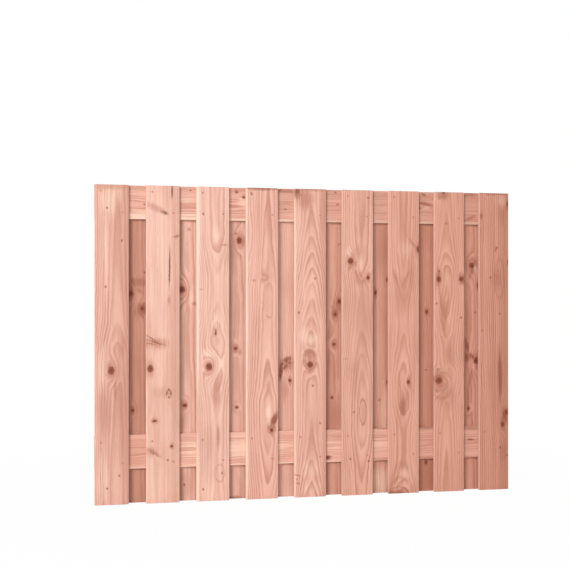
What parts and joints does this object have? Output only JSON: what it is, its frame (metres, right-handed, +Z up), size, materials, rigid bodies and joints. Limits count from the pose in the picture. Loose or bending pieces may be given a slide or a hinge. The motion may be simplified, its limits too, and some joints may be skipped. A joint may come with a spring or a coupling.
{
  "type": "wooden fence panel",
  "caption": "Wooden fence panel of planed upright boards screwed in turn to the front and the back of its rails, closed to the eye and open to the wind.",
  "frame": {"origin": "on the ground under the middle of the panel: the middle of its width and thickness, at the feet of the boards", "axes": "+X along the panel to the right as seen from its front, +Y from the front face to the back face, +Z up"},
  "size_m": [1.8, 0.051, 1.3],
  "materials": {
    "front_boards": "planed softwood, salmon pink heartwood, unfinished",
    "back_boards": "planed softwood, salmon pink heartwood, unfinished",
    "rails": "planed softwood, salmon pink heartwood with cream sapwood, unfinished",
    "screws": "stainless steel, satin"
  },
  "bodies": {
    "root": {"front_board_1": "front_boards", "front_board_2": "front_boards", "front_board_3": "front_boards", "front_board_4": "front_boards", "front_board_5": "front_boards", "front_board_6": "front_boards", "front_board_7": "front_boards", "front_board_8": "front_boards", "front_board_9": "front_boards", "back_board_1": "back_boards", "back_board_2": "back_boards", "back_board_3": "back_boards", "back_board_4": "back_boards", "back_board_5": "back_boards", "back_board_6": "back_boards", "back_board_7": "back_boards", "back_board_8": "back_boards", "top_rail": "rails", "bottom_rail": "rails", "top_rail_front_screws": "screws", "top_rail_back_screws": "screws", "bottom_rail_front_screws": "screws", "bottom_rail_back_screws": "screws"}
  },
  "joints": []
}
